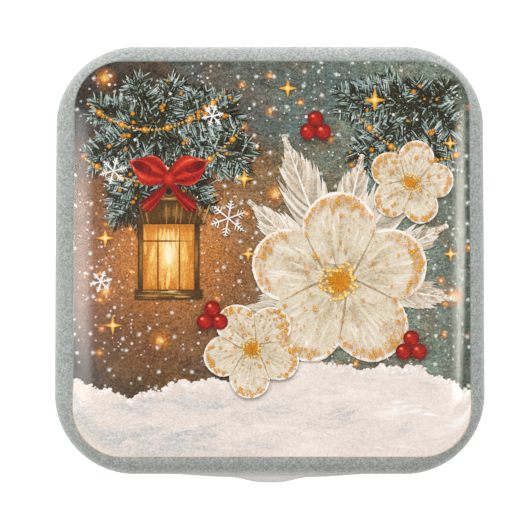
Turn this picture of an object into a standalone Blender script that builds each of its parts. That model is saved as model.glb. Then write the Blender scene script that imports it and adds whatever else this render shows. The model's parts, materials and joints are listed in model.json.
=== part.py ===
"""A small square hinged tin for needles, in metres, +Z up.

The origin is the middle of the underside. The hinge is at +Y and the thumb lip at -Y.
The lid and the tray are each one drawn sheet with rolled edges. Two tongues lanced from
the tray's back wall curl round the lid's rolled edge, and that is the whole hinge.
"""

import math

import bpy
import bmesh
from mathutils import Vector

for old in list(bpy.data.objects):
    bpy.data.objects.remove(old, do_unlink=True)

MM = 0.001

# Driving dimensions of the tin
TIN_WIDTH = 80.0 * MM
TIN_HEIGHT = 20.0 * MM
CORNER_RADIUS = 15.0 * MM
SHEET = 0.3 * MM
LID_DEPTH = 8.0 * MM
SHOULDER_RADIUS = 3.0 * MM
EDGE_ROLL_RADIUS = 0.6 * MM
RUNNING_GAP = 0.3 * MM
RIM_GAP = 0.7 * MM
RIM_ROLL_RADIUS = 0.6 * MM
BOTTOM_RADIUS = 2.0 * MM
CORNER_STEPS = 10
ROLL_STEPS = 9
ROLL_SWEEP = math.radians(280)

# Thumb lip on the lid's front edge
LIP_REACH = 1.6 * MM
LIP_WIDTH = 9.0 * MM
LIP_BLEND = 6.5 * MM
LIP_SHOULDER_REACH = 0.6 * MM
LIP_SHOULDER_WIDTH = 41.0 * MM
LIP_SHOULDER_BLEND = 13.0 * MM
LIP_THICKNESS = 0.8 * MM
LIP_NOTCH = 0.5 * MM
LIP_ROOT = 0.05 * MM
LIP_STATIONS = 40
WELD = 0.02 * MM

# Hinge
HINGE_SPACING = 32.0 * MM
TONGUE_WIDTH = 8.0 * MM
TONGUE_WRAP = math.radians(240)
TONGUE_ROOT = 1.0 * MM
TONGUE_STEPS = 12
SLOT_SIDE_GAP = 0.5 * MM
SLOT_MARGIN = 0.12 * MM

# Magnetic sheet in the tray
MAGNET_THICKNESS = 0.8 * MM
MAGNET_SIDE_GAP = 0.5 * MM
SEAT_GAP = 0.3 * MM

# Label, its print and the resin over it
LABEL_MARGIN = 3.2 * MM
LABEL_RADIUS = 9.0 * MM
LABEL_OFFSET_X = 0.4 * MM
FILM_THICKNESS = 0.2 * MM
INK_THICKNESS = 0.05 * MM
INK_GAP = 0.05 * MM
INK_LEVELS = 6
DOME_CROWN = 1.5 * MM
DOME_EDGE = 0.15 * MM
DOME_SLOPE = 4.0 * MM
DOME_BORDER = 0.4 * MM

# Places that follow from the sizes
HALF = TIN_WIDTH / 2
LABEL_WIDTH = TIN_WIDTH - 2 * LABEL_MARGIN
LID_EDGE_Z = TIN_HEIGHT - LID_DEPTH
AXIS_Y = HALF - EDGE_ROLL_RADIUS
AXIS_Z = LID_EDGE_Z + EDGE_ROLL_RADIUS
TRAY_INSET = 2 * EDGE_ROLL_RADIUS + RUNNING_GAP
RIM_TOP_Z = TIN_HEIGHT - SHEET - RIM_GAP
TONGUE_OUTER = EDGE_ROLL_RADIUS + RUNNING_GAP + SHEET - WELD
TONGUE_INNER = EDGE_ROLL_RADIUS + RUNNING_GAP + WELD
WINDOW_HEIGHT = TONGUE_WRAP * (TONGUE_INNER + TONGUE_OUTER) / 2
FILM_Z = TIN_HEIGHT + SEAT_GAP
INK_Z = FILM_Z + FILM_THICKNESS + INK_GAP
INK_PITCH = INK_THICKNESS + INK_GAP
DOME_Z = INK_Z + INK_LEVELS * INK_PITCH


def material(name, colour, roughness, metallic=0.0, alpha=1.0):
    made = bpy.data.materials.new(name)
    made.use_nodes = True
    shader = made.node_tree.nodes["Principled BSDF"]
    shader.inputs["Base Color"].default_value = (*colour, 1.0)
    shader.inputs["Roughness"].default_value = roughness
    shader.inputs["Metallic"].default_value = metallic
    shader.inputs["Alpha"].default_value = alpha
    made.diffuse_color = (*colour, alpha)
    return made


def place(name, mesh, finish):
    made = bpy.data.objects.new(name, mesh)
    bpy.context.collection.objects.link(made)
    made.data.materials.append(finish)
    return made


def helper(name, mesh):
    """A solid that only cuts or joins another one."""
    made = bpy.data.objects.new(name, mesh)
    bpy.context.collection.objects.link(made)
    made.hide_render = True
    made.display_type = "WIRE"
    return made


def finish_mesh(name, work):
    bmesh.ops.recalc_face_normals(work, faces=work.faces)
    mesh = bpy.data.meshes.new(name)
    work.to_mesh(mesh)
    work.free()
    return mesh


def rounded_square(half, radius, z, centre_x=0.0):
    """A square outline with round corners, counter-clockwise from above."""
    run = half - radius
    points = []
    for quarter in range(4):
        corner = math.radians(45 + 90 * quarter)
        centre = Vector((math.copysign(run, math.cos(corner)), math.copysign(run, math.sin(corner))))
        for step in range(CORNER_STEPS + 1):
            turn = math.radians(90 * quarter + 90 * step / CORNER_STEPS)
            x = centre.x + radius * math.cos(turn) + centre_x
            y = centre.y + radius * math.sin(turn)
            points.append(Vector((x, y, z)))
    return points


def loft(work, rings):
    """Walls between rings with the same number of points, closed by a face at each end."""
    loops = [[work.verts.new(point) for point in ring] for ring in rings]
    for lower, upper in zip(loops, loops[1:]):
        for index in range(len(lower)):
            after = (index + 1) % len(lower)
            work.faces.new((lower[index], lower[after], upper[after], upper[index]))
    work.faces.new(loops[0])
    work.faces.new(loops[-1])


def arc(centre_inset, centre_z, radius, start, end, steps):
    """Points of a section as (inset from the lid's side, height). Angle 0 points outward."""
    points = []
    for step in range(steps + 1):
        turn = start + (end - start) * step / steps
        points.append((centre_inset - radius * math.cos(turn), centre_z + radius * math.sin(turn)))
    return points


def drawn_shell(name, section):
    """A drawn sheet: its section carried round the tin's rounded square."""
    rings = [rounded_square(HALF - inset, CORNER_RADIUS - inset, z) for inset, z in section]
    work = bmesh.new()
    loft(work, rings)
    return finish_mesh(name, work)


def block(name, low, high):
    work = bmesh.new()
    bmesh.ops.create_cube(work, size=1.0)
    size = Vector(high) - Vector(low)
    middle = (Vector(high) + Vector(low)) / 2
    bmesh.ops.scale(work, vec=size, verts=work.verts)
    bmesh.ops.translate(work, vec=middle, verts=work.verts)
    return helper(name, finish_mesh(name, work))


def extruded_x(name, section, low_x, high_x):
    """A section in Y and Z drawn out along X."""
    work = bmesh.new()
    loft(work, [[Vector((x, y, z)) for y, z in section] for x in (low_x, high_x)])
    return helper(name, finish_mesh(name, work))


def boolean(target, tool, operation):
    step = target.modifiers.new(operation.lower() + "_" + tool.name, "BOOLEAN")
    step.operation = operation
    step.object = tool
    step.solver = "EXACT"


def hinge_places():
    return (-HINGE_SPACING / 2, HINGE_SPACING / 2)


# Tray: drawn sheet, round foot, rim rolled inward


def build_tray(finish):
    foot_inset = TRAY_INSET + BOTTOM_RADIUS
    roll_inset = TRAY_INSET + RIM_ROLL_RADIUS
    roll_z = RIM_TOP_Z - RIM_ROLL_RADIUS
    quarter = math.radians(90)
    section = arc(foot_inset, BOTTOM_RADIUS, BOTTOM_RADIUS, -quarter, 0, 5)
    section += arc(roll_inset, roll_z, RIM_ROLL_RADIUS, 0, ROLL_SWEEP, ROLL_STEPS)
    section += arc(roll_inset, roll_z, RIM_ROLL_RADIUS - SHEET, ROLL_SWEEP, 0, ROLL_STEPS)
    section += arc(foot_inset, BOTTOM_RADIUS, BOTTOM_RADIUS - SHEET, 0, -quarter, 4)
    tray = place("base_tray", drawn_shell("base_tray", section), finish)
    wall_y = HALF - TRAY_INSET
    for side, x in zip(("left", "right"), hinge_places()):
        reach = TONGUE_WIDTH / 2 + SLOT_SIDE_GAP
        low = (x - reach, wall_y - 2 * SHEET, AXIS_Z)
        high = (x + reach, wall_y + SHEET, AXIS_Z + WINDOW_HEIGHT)
        boolean(tray, block("window_" + side, low, high), "DIFFERENCE")
        boolean(tray, tongue("tongue_" + side, x), "UNION")
    return tray


def tongue(name, x):
    """The lanced tongue: up from the wall, over the lid's rolled edge and round under it."""
    start = math.radians(180)
    outer = []
    inner = []
    for step in range(TONGUE_STEPS + 1):
        turn = start - TONGUE_WRAP * step / TONGUE_STEPS
        across = math.cos(turn)
        up = math.sin(turn)
        outer.append((AXIS_Y + TONGUE_OUTER * across, AXIS_Z + TONGUE_OUTER * up))
        inner.append((AXIS_Y + TONGUE_INNER * across, AXIS_Z + TONGUE_INNER * up))
    root = [(AXIS_Y - TONGUE_INNER, AXIS_Z - TONGUE_ROOT), (AXIS_Y - TONGUE_OUTER, AXIS_Z - TONGUE_ROOT)]
    section = outer + inner[::-1] + root
    return extruded_x(name, section, x - TONGUE_WIDTH / 2, x + TONGUE_WIDTH / 2)


# Lid: drawn sheet, round shoulder, edge rolled inward, slots for the tongues, thumb lip


def build_lid(finish):
    shoulder_z = TIN_HEIGHT - SHOULDER_RADIUS
    quarter = math.radians(90)
    section = arc(SHOULDER_RADIUS, shoulder_z, SHOULDER_RADIUS, quarter, 0, 6)
    section += arc(EDGE_ROLL_RADIUS, AXIS_Z, EDGE_ROLL_RADIUS, 0, -ROLL_SWEEP, ROLL_STEPS)
    section += arc(EDGE_ROLL_RADIUS, AXIS_Z, EDGE_ROLL_RADIUS - SHEET, -ROLL_SWEEP, 0, ROLL_STEPS)
    section += arc(SHOULDER_RADIUS, shoulder_z, SHOULDER_RADIUS - SHEET, 0, quarter, 5)
    lid = place("lid", drawn_shell("lid", section), finish)
    slot_height = TONGUE_OUTER + RUNNING_GAP
    for side, x in zip(("left", "right"), hinge_places()):
        reach = TONGUE_WIDTH / 2 + SLOT_SIDE_GAP
        low = (x - reach, HALF - SHEET - SLOT_MARGIN, AXIS_Z)
        high = (x + reach, HALF + SHEET, AXIS_Z + slot_height)
        boolean(lid, block("slot_" + side, low, high), "DIFFERENCE")
    boolean(lid, lip_relief(), "DIFFERENCE")
    boolean(lid, thumb_lip(), "UNION")
    return lid


def lip_relief():
    """Takes the inward roll off the front edge where the lip is, and leaves the skirt."""
    front = -HALF
    outside = front - SHEET
    behind_skirt = front + SHEET + LIP_ROOT
    inside = front + 2 * EDGE_ROLL_RADIUS + SHEET / 2
    top = AXIS_Z + EDGE_ROLL_RADIUS + SHEET
    bottom = LID_EDGE_Z - SHEET
    section = [
        (outside, bottom),
        (inside, bottom),
        (inside, top),
        (behind_skirt, top),
        (behind_skirt, AXIS_Z),
        (outside, AXIS_Z),
    ]
    reach = LIP_SHOULDER_WIDTH / 2 + LIP_NOTCH
    return extruded_x("lip_relief", section, -reach, reach)


def ease(value):
    """0 to 1 with a soft start and end."""
    value = min(max(value, 0.0), 1.0)
    return value * value * (3 - 2 * value)


def lip_reach(x):
    """How far the front edge stands out of the skirt at x."""
    wide = ease((LIP_SHOULDER_WIDTH / 2 - abs(x)) / LIP_SHOULDER_BLEND)
    middle = ease((LIP_WIDTH / 2 + LIP_BLEND / 2 - abs(x)) / LIP_BLEND)
    reach = LIP_SHOULDER_REACH * wide + (LIP_REACH - LIP_SHOULDER_REACH) * middle
    return reach * (LIP_REACH + WELD) / LIP_REACH - WELD


def thumb_lip():
    """The edge turned outward and folded back on itself, lofted along the front."""
    half_thickness = LIP_THICKNESS / 2
    middle_z = LID_EDGE_Z + half_thickness
    back = -HALF + SHEET - WELD
    rings = []
    for station in range(LIP_STATIONS + 1):
        x = LIP_SHOULDER_WIDTH * (station / LIP_STATIONS - 0.5)
        reach = lip_reach(x)
        bend = min(half_thickness, reach + SHEET / 2)
        ring = [Vector((x, back, middle_z + half_thickness))]
        for step in range(7):
            turn = math.radians(90 + 180 * step / 6)
            y = -HALF - reach + bend + bend * math.cos(turn)
            ring.append(Vector((x, y, middle_z + half_thickness * math.sin(turn))))
        ring.append(Vector((x, back, middle_z - half_thickness)))
        rings.append(ring)
    work = bmesh.new()
    loft(work, rings)
    return helper("thumb_lip", finish_mesh("thumb_lip", work))


# Magnetic sheet


def build_magnet(finish):
    inset = TRAY_INSET + BOTTOM_RADIUS + MAGNET_SIDE_GAP
    low = SHEET + SEAT_GAP
    work = bmesh.new()
    rings = [rounded_square(HALF - inset, CORNER_RADIUS - inset, low + rise) for rise in (0, MAGNET_THICKNESS)]
    loft(work, rings)
    return place("magnetic_sheet", finish_mesh("magnetic_sheet", work), finish)


# Label and resin


def label_outline(inset, z):
    share = 1 - inset / (LABEL_WIDTH / 2)
    return rounded_square(LABEL_WIDTH / 2 * share, LABEL_RADIUS * share, z, LABEL_OFFSET_X)


def build_film(finish):
    work = bmesh.new()
    loft(work, [label_outline(0, FILM_Z), label_outline(0, FILM_Z + FILM_THICKNESS)])
    return place("label_film", finish_mesh("label_film", work), finish)


def build_dome(finish):
    """Resin stands steep at the label's edge and runs out almost flat in the middle.

    Its border reaches down to the film all round, and the print lies in the hollow within.
    """
    film_top = FILM_Z + FILM_THICKNESS + INK_GAP
    rings = [label_outline(DOME_BORDER, DOME_Z), label_outline(DOME_BORDER, film_top)]
    rings += [label_outline(0, film_top), label_outline(0, DOME_Z + DOME_EDGE)]
    for share in (0.05, 0.14, 0.28, 0.48, 0.72, 1.0, 2.2, 4.5):
        inset = DOME_SLOPE * share
        steep = 1 - (1 - min(share, 1.0)) ** 2.4
        crown = inset / (LABEL_WIDTH / 2)
        rise = (DOME_CROWN - DOME_EDGE) * (0.84 * steep + 0.16 * math.sqrt(crown))
        rings.append(label_outline(inset, DOME_Z + DOME_EDGE + rise))
    work = bmesh.new()
    loft(work, rings)
    return place("resin_dome", finish_mesh("resin_dome", work), finish)


# Print: each field of colour is a thin flat solid on its own level of the label


def printed(name, outline, level, finish):
    """A flat shape from its outline of (x, y), in shares of the label's half width."""
    z = INK_Z + level * INK_PITCH
    half = LABEL_WIDTH / 2
    ring = [(half * x + LABEL_OFFSET_X, half * y) for x, y in outline]
    work = bmesh.new()
    loft(work, [[Vector((x, y, z + rise)) for x, y in ring] for rise in (0, INK_THICKNESS)])
    return place(name, finish_mesh(name, work), finish)


PRINT = {"edge": 0.985, "sky_foot": -0.52}


def border(x, sign):
    """The print's top or bottom edge at x, round at the label's corners."""
    radius = LABEL_RADIUS / (LABEL_WIDTH / 2)
    past = max(abs(x) / PRINT["edge"] - (1 - radius), 0.0)
    return sign * PRINT["edge"] * (1 - radius + math.sqrt(max(radius * radius - past * past, 0.0)))


def snow_line(x):
    return -0.60 + 0.07 * math.sin(3.1 * x + 0.6) + 0.025 * math.sin(11 * x)


def sky_line(y):
    return -0.02 + 0.10 * math.sin(4.5 * y + 0.4) - 0.22 * y


def spread(low, high, count):
    return [low + (high - low) * index / count for index in range(count + 1)]


def snow_outline():
    across = spread(-PRINT["edge"], PRINT["edge"], 26)
    lower = [(x, border(x, -1)) for x in across]
    upper = [(x, snow_line(x)) for x in reversed(across)]
    return lower + upper


def sky_outline():
    """The dark side of the sky, from the left edge to a soft wave down the middle."""
    wave = [(sky_line(y), y) for y in spread(PRINT["sky_foot"], PRINT["edge"] - 0.01, 12)]
    top = [(x, border(x, 1)) for x in spread(sky_line(PRINT["edge"]) - 0.05, -PRINT["edge"], 12)]
    return wave + top + [(-PRINT["edge"], PRINT["sky_foot"])]


def around(centre, reach, count):
    """An outline from its reach at each angle round a centre."""
    turns = [2 * math.pi * index / count for index in range(count)]
    return [
        (centre[0] + reach(turn) * math.cos(turn), centre[1] + reach(turn) * math.sin(turn))
        for turn in turns
    ]


def blossom(centre, radius, petals, tilt, depth=0.42, steps=12):
    """Round petals that meet in short clefts."""
    def reach(turn):
        lobe = abs(math.cos(petals * (turn - math.radians(tilt)) / 2))
        return radius * (1 - depth + depth * lobe ** 0.6)
    return around(centre, reach, steps * petals)


STAR = {"points": 4, "waist": 0.36}


def star(centre, radius):
    outline = []
    for corner in range(2 * STAR["points"]):
        turn = math.pi * (0.5 + corner / STAR["points"])
        reach = radius if corner % 2 == 0 else radius * STAR["waist"]
        outline.append((centre[0] + reach * math.cos(turn), centre[1] + reach * math.sin(turn)))
    return outline


def spray(centre, blades, heart, blade_turn, teeth):
    """Blades of their own angle and length from one heart, with feathered sides."""
    def reach(turn):
        longest = heart
        for degrees, length in blades:
            off = math.remainder(turn - math.radians(degrees), 2 * math.pi)
            longest = max(longest, length * math.exp(-((off / blade_turn) ** 2)))
        return longest * (1 + teeth * math.sin(60 * turn))
    return around(centre, reach, 144)


def lantern_frame(centre, width, height):
    """Foot, posts and roof of a lantern as one outline."""
    x, y = centre
    half = width / 2
    low = y - height / 2
    eaves = y + height * 0.26
    top = y + height / 2
    foot = low + height * 0.1
    right = [(half, low), (half, foot), (half * 0.86, foot), (half * 0.86, eaves)]
    right += [(half * 1.12, eaves), (half * 0.40, top), (half * 0.14, top + height * 0.1)]
    return [(x + a, b) for a, b in right] + [(x - a, b) for a, b in reversed(right)]


def bow(centre, size):
    """Two loops and two tails, tied in the middle."""
    def reach(turn):
        loops = abs(math.cos(turn)) ** 3 * (1 if math.sin(turn) > -0.25 else 0.3)
        tails = sum(
            0.95 * math.exp(-((math.remainder(turn - math.radians(angle), 2 * math.pi) / 0.16) ** 2))
            for angle in (-62, -118)
        )
        return size * max(0.24, loops, tails)
    return around(centre, reach, 72)


ROSES = {
    "large": ((0.34, -0.12), 0.46, 18, 3),
    "low": ((-0.10, -0.46), 0.25, 50, 4),
    "high": ((0.70, 0.38), 0.22, 5, 4),
}
ROSE_EYE = 0.2
LANTERN = {"centre": (-0.52, 0.04), "width": 0.34, "height": 0.50}
BOW = (-0.52, 0.40)
BERRIES = {"left": (-0.30, -0.30), "right": (0.70, -0.45), "top": (0.22, 0.66)}
STARS = {
    "one": ((0.08, 0.86), 0.05),
    "two": ((0.52, 0.80), 0.06),
    "three": ((0.90, 0.58), 0.04),
    "four": ((-0.14, 0.40), 0.05),
    "five": ((-0.84, 0.10), 0.05),
    "six": ((0.90, 0.02), 0.04),
    "seven": ((-0.80, -0.34), 0.05),
    "eight": ((-0.12, 0.02), 0.04),
}
FIR_CORNER = (-0.60, 0.68)
FIR_BLADES = ((-105, 0.52), (-62, 0.50), (-22, 0.52), (10, 0.42), (60, 0.24), (115, 0.24), (165, 0.30), (212, 0.36))
FIR_SIDE = (0.80, 0.78)
FIR_SIDE_BLADES = ((-95, 0.44), (-140, 0.46), (178, 0.44), (130, 0.12), (40, 0.12), (-50, 0.18))
FROST_BLADES = ((60, 0.82), (84, 0.66), (112, 0.80), (140, 0.62), (28, 0.62), (-8, 0.60), (205, 0.62), (-40, 0.56))


def build_print():
    printed("night_sky", sky_outline(), 0, dark_sky_print)
    printed("snow_bank", snow_outline(), 1, snow_print)
    printed("fir_spray_left", spray(FIR_CORNER, FIR_BLADES, 0.14, 0.17, 0.10), 1, fir_print)
    printed("fir_spray_right", spray(FIR_SIDE, FIR_SIDE_BLADES, 0.10, 0.17, 0.10), 1, fir_print)
    printed("frosted_spray", spray(ROSES["large"][0], FROST_BLADES, 0.30, 0.13, 0.07), 2, frost_print)
    x, y = LANTERN["centre"]
    width, height = LANTERN["width"], LANTERN["height"]
    printed("lantern", lantern_frame((x, y), width, height), 2, brass_print)
    glow = (width * 0.30, height * 0.30)
    low = y - height * 0.05
    pane = [(-glow[0], -glow[1]), (glow[0], -glow[1]), (glow[0], glow[1]), (-glow[0], glow[1])]
    printed("lantern_light", [(x + across, low + up) for across, up in pane], 3, lamp_print)
    printed("ribbon_bow", bow(BOW, 0.17), 3, red_print)
    for place_name, (centre, radius, tilt, level) in ROSES.items():
        printed("winter_rose_" + place_name, blossom(centre, radius, 5, tilt), level, petal_print)
        eye = blossom(centre, radius * ROSE_EYE, 9, 0, 0.3, 4)
        printed("rose_centre_" + place_name, eye, 5, gold_print)
    for place_name, centre in BERRIES.items():
        trio = blossom(centre, 0.085, 3, 90, 0.5, 8)
        printed("red_berries_" + place_name, trio, 5, red_print)
    for place_name, (centre, radius) in STARS.items():
        printed("gold_star_" + place_name, star(centre, radius), 3, gold_print)


sage_paint = material("sage_paint", (0.42, 0.45, 0.42), 0.5)
flexible_magnet = material("flexible_magnet", (0.035, 0.035, 0.04), 0.7)
teal_sky_print = material("teal_sky_print", (0.19, 0.23, 0.18), 0.45)
dark_sky_print = material("dark_sky_print", (0.10, 0.11, 0.085), 0.45)
snow_print = material("snow_print", (0.83, 0.74, 0.70), 0.5)
frost_print = material("frost_print", (0.62, 0.58, 0.50), 0.5)
fir_print = material("fir_print", (0.06, 0.10, 0.07), 0.5)
petal_print = material("petal_print", (0.86, 0.80, 0.72), 0.5)
brass_print = material("brass_print", (0.33, 0.19, 0.05), 0.4)
lamp_print = material("lamp_print", (0.95, 0.62, 0.18), 0.4)
red_print = material("red_print", (0.45, 0.05, 0.03), 0.4)
gold_print = material("gold_print", (0.80, 0.45, 0.12), 0.35)
clear_resin = material("clear_resin", (1.0, 1.0, 1.0), 0.03, 0.0, 0.25)

build_tray(sage_paint)
build_magnet(flexible_magnet)
build_lid(sage_paint)
build_film(teal_sky_print)
build_print()
build_dome(clear_resin)
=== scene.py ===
"""The looks of the hinged needle tin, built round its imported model."""
import json
import random
from math import atan, cos, pi, radians, sin, sqrt, tau

import bmesh
import bpy
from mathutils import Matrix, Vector


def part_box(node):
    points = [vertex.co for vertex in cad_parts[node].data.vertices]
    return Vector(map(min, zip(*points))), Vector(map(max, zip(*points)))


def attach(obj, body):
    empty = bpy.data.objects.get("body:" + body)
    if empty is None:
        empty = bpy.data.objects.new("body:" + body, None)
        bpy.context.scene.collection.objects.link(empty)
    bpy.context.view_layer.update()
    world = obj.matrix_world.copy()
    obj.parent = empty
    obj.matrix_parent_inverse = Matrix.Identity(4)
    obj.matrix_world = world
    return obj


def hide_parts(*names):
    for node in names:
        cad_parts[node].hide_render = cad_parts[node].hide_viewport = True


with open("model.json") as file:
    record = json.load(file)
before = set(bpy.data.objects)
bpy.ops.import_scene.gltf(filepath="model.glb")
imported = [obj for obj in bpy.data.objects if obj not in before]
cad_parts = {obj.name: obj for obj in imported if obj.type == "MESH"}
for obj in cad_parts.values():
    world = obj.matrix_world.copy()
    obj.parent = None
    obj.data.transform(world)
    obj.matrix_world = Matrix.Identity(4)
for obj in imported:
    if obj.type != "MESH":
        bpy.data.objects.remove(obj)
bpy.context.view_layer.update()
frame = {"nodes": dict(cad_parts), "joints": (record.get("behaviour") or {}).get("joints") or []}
bpy.ops.object.select_all(action="DESELECT")

# Camera and studio
# The photo looks almost straight down on the closed tin with a long lens, from just in front
# of it. The tin lies on white, and the light is soft and comes mostly from behind it.
VIEW_ELEVATION = radians(86.0)
VIEW_DISTANCE = 0.51
VIEW_WIDTH = 0.0993
AIM = Vector((-0.0007, -0.00125, 0.017))
tilt = radians(90) - VIEW_ELEVATION
view_line = Vector((0, sin(tilt), -cos(tilt)))
bpy.ops.object.camera_add(location=AIM - view_line * VIEW_DISTANCE, rotation=(tilt, 0, 0))
camera = bpy.context.object
camera.name = "camera"
camera.data.angle = 2 * atan(VIEW_WIDTH / 2 / VIEW_DISTANCE)
camera.data.clip_start = 0.01
bpy.context.scene.camera = camera
bpy.context.scene.view_settings.view_transform = "Standard"


def softbox(name, place, width, height, power, colour=(1, 1, 1)):
    aim = Vector((0, 0, 0.015)) - Vector(place)
    bpy.ops.object.light_add(type="AREA", location=place, rotation=aim.to_track_quat("-Z", "Y").to_euler())
    lamp = bpy.context.object
    lamp.name = name
    lamp.data.shape = "RECTANGLE"
    lamp.data.size = width
    lamp.data.size_y = height
    lamp.data.energy = power
    lamp.data.color = colour
    return lamp


back = softbox("back_softbox", place=(0.0, 0.55, 0.49), width=0.74, height=0.42, power=3.85)
left = softbox("left_softbox", place=(-0.60, 0.05, 0.40), width=0.9, height=0.30, power=1.1)
back.visible_glossy = left.visible_glossy = False
gloss_only = bpy.data.collections.new("gloss_only")


def grey(value):
    return (value, value, value, 1)


def fill_ramp(band, stops):
    """Sets a ramp's colours at their places from 0 to 1."""
    for element, (place, colour) in zip(band.elements, (stops[0], stops[-1])):
        element.position, element.color = place, colour
    for place, colour in stops[1:-1]:
        band.elements.new(place).color = colour


def soft_card(name, place, length, width, power, colour, along, across):
    """A card that shines only on the resin and the lip, as bright along and across as it says."""
    card = softbox(name, place, length, width, power, colour)
    card.light_linking.receiver_collection = gloss_only
    card.data.use_nodes = True
    tree = card.data.node_tree
    split = tree.nodes.new("ShaderNodeSeparateXYZ")
    tree.links.new(tree.nodes.new("ShaderNodeNewGeometry").outputs["Parametric"], split.inputs["Vector"])
    glow = tree.nodes.new("ShaderNodeMath")
    glow.operation = "MULTIPLY"
    for slot, (axis, stops) in enumerate((("X", along), ("Y", across))):
        ramp = tree.nodes.new("ShaderNodeValToRGB")
        fill_ramp(ramp.color_ramp, [(share, grey(value)) for share, value in stops])
        tree.links.new(split.outputs[axis], ramp.inputs["Fac"])
        tree.links.new(ramp.outputs["Color"], glow.inputs[slot])
    tree.links.new(glow.outputs["Value"], tree.nodes["Emission"].inputs["Strength"])


# The two cards show as soft streaks along the sides of the resin: a narrow one on the right,
# and on the left a broad one that fades slowly towards the middle.
soft_card(
    "right_card", place=(0.323, 0.07, 0.502), length=0.20, width=0.625, power=6.1, colour=(1.0, 0.95, 0.86),
    along=((0.0, 0.0), (0.2, 1.0), (0.45, 1.0), (0.575, 0.75), (0.65, 0.45), (0.8, 0.1), (1.0, 0.0)),
    across=((0.0, 0.0), (0.12, 0.22), (0.31, 0.9), (0.59, 0.97), (0.74, 0.48), (0.86, 0.26), (1.0, 0.0)))
soft_card(
    "left_card", place=(-0.36, 0.015, 0.42), length=0.23, width=0.80, power=6.2, colour=(1, 1, 1),
    along=((0.0, 0.0), (0.135, 0.2), (0.2, 0.6), (0.33, 1.0), (0.53, 1.0), (0.61, 0.55), (0.83, 0.4),
           (1.0, 0.0)),
    across=((0.0, 0.8), (0.44, 1.0), (0.57, 0.96), (0.72, 0.76), (0.88, 0.4), (0.95, 0.18), (1.0, 0.0)))

ROOM_LIGHT = 0.52
world = bpy.data.worlds.new("white_room")
world.use_nodes = True
background = world.node_tree.nodes["Background"]
background.inputs["Color"].default_value = grey(1.0)
background.inputs["Strength"].default_value = ROOM_LIGHT
bpy.context.scene.world = world

bpy.ops.mesh.primitive_plane_add(size=6.0, location=(0, 0, 0))
floor = bpy.context.object
floor.name = "floor"
floor_white = bpy.data.materials.new("floor_white")
floor_white.use_nodes = True
for socket, value in (("Base Color", grey(0.6)), ("Roughness", 0.9), ("Specular IOR Level", 0.0),
                      ("Emission Color", grey(1.0)), ("Emission Strength", 0.82)):
    floor_white.node_tree.nodes["Principled BSDF"].inputs[socket].default_value = value
floor.data.materials.append(floor_white)

# Tinplate
# Both pressings are 0.3 mm sheet: a sage-grey lacquer outside, with a fine grain like orange
# peel, and bare bright tin inside and on every raw face.
MM = 0.001
NEAR = 0.001 * MM
GRAINS_A_METRE = 4400
SHEET = 0.3 * MM
ROLL_RADIUS = 0.6 * MM
ROLL_SWEEP = radians(280)
QUARTER = radians(90)
CORNER_RUN = 25.0 * MM
SAGE_DARK = (0.248, 0.267, 0.253, 1)
SAGE_MID = (0.386, 0.411, 0.391, 1)
SAGE_LIGHT = (0.545, 0.573, 0.551, 1)


class Paintbox:
    """One material with its nodes, its Principled shader and Object coordinates."""

    def __init__(self, name):
        self.material = bpy.data.materials.new(name)
        self.material.use_nodes = True
        self.tree = self.material.node_tree
        self.shader = self.tree.nodes["Principled BSDF"]
        self.place = self.tree.nodes.new("ShaderNodeTexCoord").outputs["Object"]

    def feed(self, value, slot):
        """Links a socket to an input, or sets the input to a colour or a number."""
        if isinstance(value, bpy.types.NodeSocket):
            self.tree.links.new(value, slot)
        else:
            slot.default_value = value

    def node(self, kind, inputs, **settings):
        made = self.tree.nodes.new("ShaderNode" + kind)
        for key, value in settings.items():
            setattr(made, key, value)
        for key, value in inputs.items():
            self.feed(value, made.inputs[key])
        return made

    def noise(self, scale, detail=2.0, roughness=0.5, distortion=0.0, stretch=(1, 1, 1), turn=0.0):
        """Noise of that many features a metre, stretched and turned in the plane of the label."""
        mapping = self.node("Mapping", {"Scale": stretch, "Rotation": (0, 0, turn), "Vector": self.place})
        return self.node("TexNoise", {
            "Scale": scale, "Detail": detail, "Roughness": roughness, "Distortion": distortion,
            "Vector": mapping.outputs["Vector"]}).outputs["Fac"]

    def grit(self, scale):
        """A random value from 0 to 1 in each of that many grains a metre."""
        grains = self.node("TexVoronoi", {"Scale": scale, "Vector": self.place})
        return self.node("SeparateColor", {"Color": grains.outputs["Color"]}).outputs[0]

    def ramp(self, source, stops):
        made = self.node("ValToRGB", {"Fac": source})
        fill_ramp(made.color_ramp, stops)
        return made.outputs["Color"]

    def mix(self, share, first, second, blend="MIX"):
        """Mixes two colours, through the node's own sockets for a share and for colours."""
        inputs = {0: share, 6: first, 7: second}
        return self.node("Mix", inputs, data_type="RGBA", blend_type=blend).outputs[2]

    def math(self, operation, first, second):
        return self.node("Math", {0: first, 1: second}, operation=operation).outputs[0]

    def axis(self, name):
        return self.node("SeparateXYZ", {"Vector": self.place}).outputs[name]

    def bump(self, source, strength, depth):
        made = self.node("Bump", {"Strength": strength, "Distance": depth, "Height": source})
        self.feed(made.outputs["Normal"], self.shader.inputs["Normal"])

    def finish(self, colour, roughness, metallic=0.0, specular=0.5):
        for socket, value in (("Base Color", colour), ("Roughness", roughness),
                              ("Metallic", metallic), ("Specular IOR Level", specular)):
            self.feed(value, self.shader.inputs[socket])
        return self.material


def sage_lacquer():
    box = Paintbox("sage_lacquer")
    cloud = box.noise(90)
    colour = box.ramp(box.grit(GRAINS_A_METRE), [(0.0, SAGE_DARK), (0.5, SAGE_MID), (1.0, SAGE_LIGHT)])
    colour = box.mix(0.08, colour, box.ramp(cloud, [(0.3, SAGE_DARK), (0.7, SAGE_LIGHT)]))
    box.bump(box.noise(1500), strength=0.25, depth=0.06 * MM)
    return box.finish(colour, 0.42)


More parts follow.
